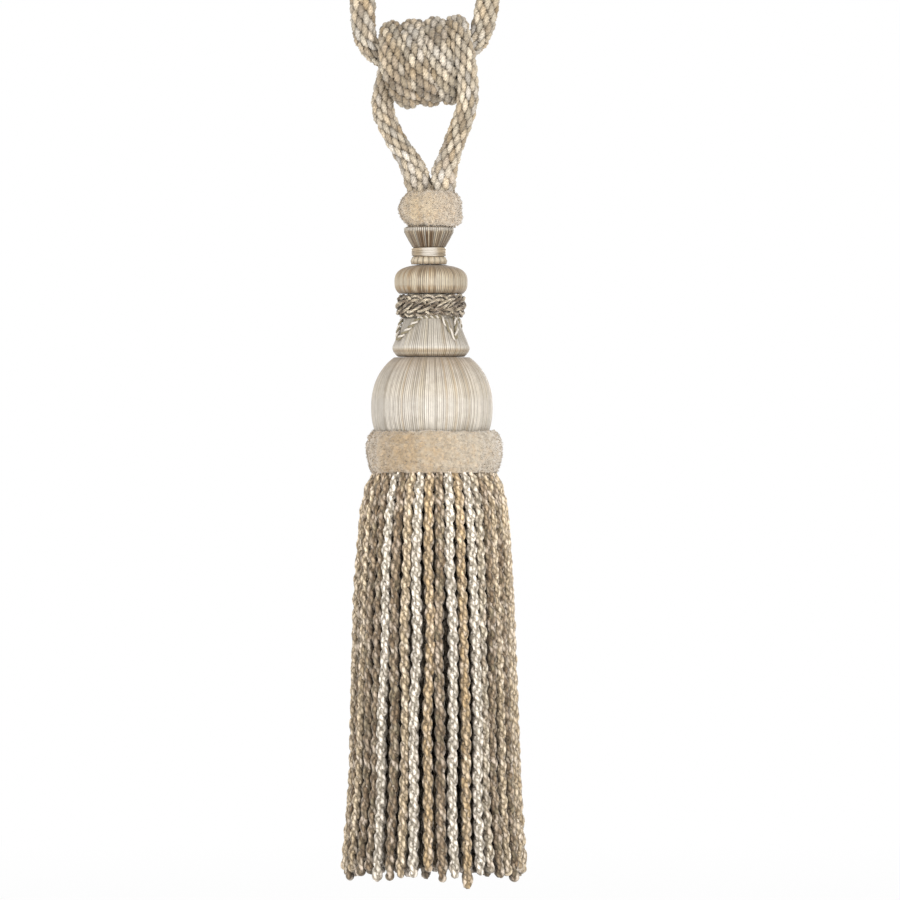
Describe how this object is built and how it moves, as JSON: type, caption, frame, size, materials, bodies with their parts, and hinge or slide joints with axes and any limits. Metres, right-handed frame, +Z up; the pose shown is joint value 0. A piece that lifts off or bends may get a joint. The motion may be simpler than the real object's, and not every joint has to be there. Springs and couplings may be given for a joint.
{
  "type": "curtain tieback tassel",
  "caption": "Hanging curtain tieback tassel: a cable cord loop held in a barrel knot above a thread-wound head, pile ruffs and a corded skirt.",
  "frame": {"origin": "underside of the tie loop's highest point, where the loop bears on what holds it up, plumb above the tassel's axis", "axes": "+Z up, along the tassel; +X to the right of someone who faces the tassel; +Y away from them"},
  "size_m": [0.0794, 0.0792, 0.4547],
  "materials": {
    "cable_cord": "matte mottled cotton and viscose cable cord, beige, taupe and cream",
    "cut_pile": "matte cut pile, sandy tan, mottled",
    "covering_thread": "fine covering thread laid lengthwise, satin, cream and grey beige",
    "binding_thread": "satin cream thread wound round",
    "gimp_cord": "plied taupe cord, matte with a slight sheen",
    "zigzag_cord": "thin two-ply cord, white and dark olive",
    "skirt_cord": "matte cabled cotton cord, white, gold, beige and taupe"
  },
  "bodies": {
    "root": {"tie_loop": "cable_cord", "hanger_cord": "cable_cord", "top_ruff": "cut_pile", "neck": "covering_thread", "neck_binding": "binding_thread", "bun": "covering_thread", "gimp_ring": "gimp_cord", "cone": "covering_thread", "zigzag_cord": "zigzag_cord", "ball": "covering_thread", "lower_ruff": "cut_pile", "skirt": "skirt_cord"}
  },
  "joints": []
}
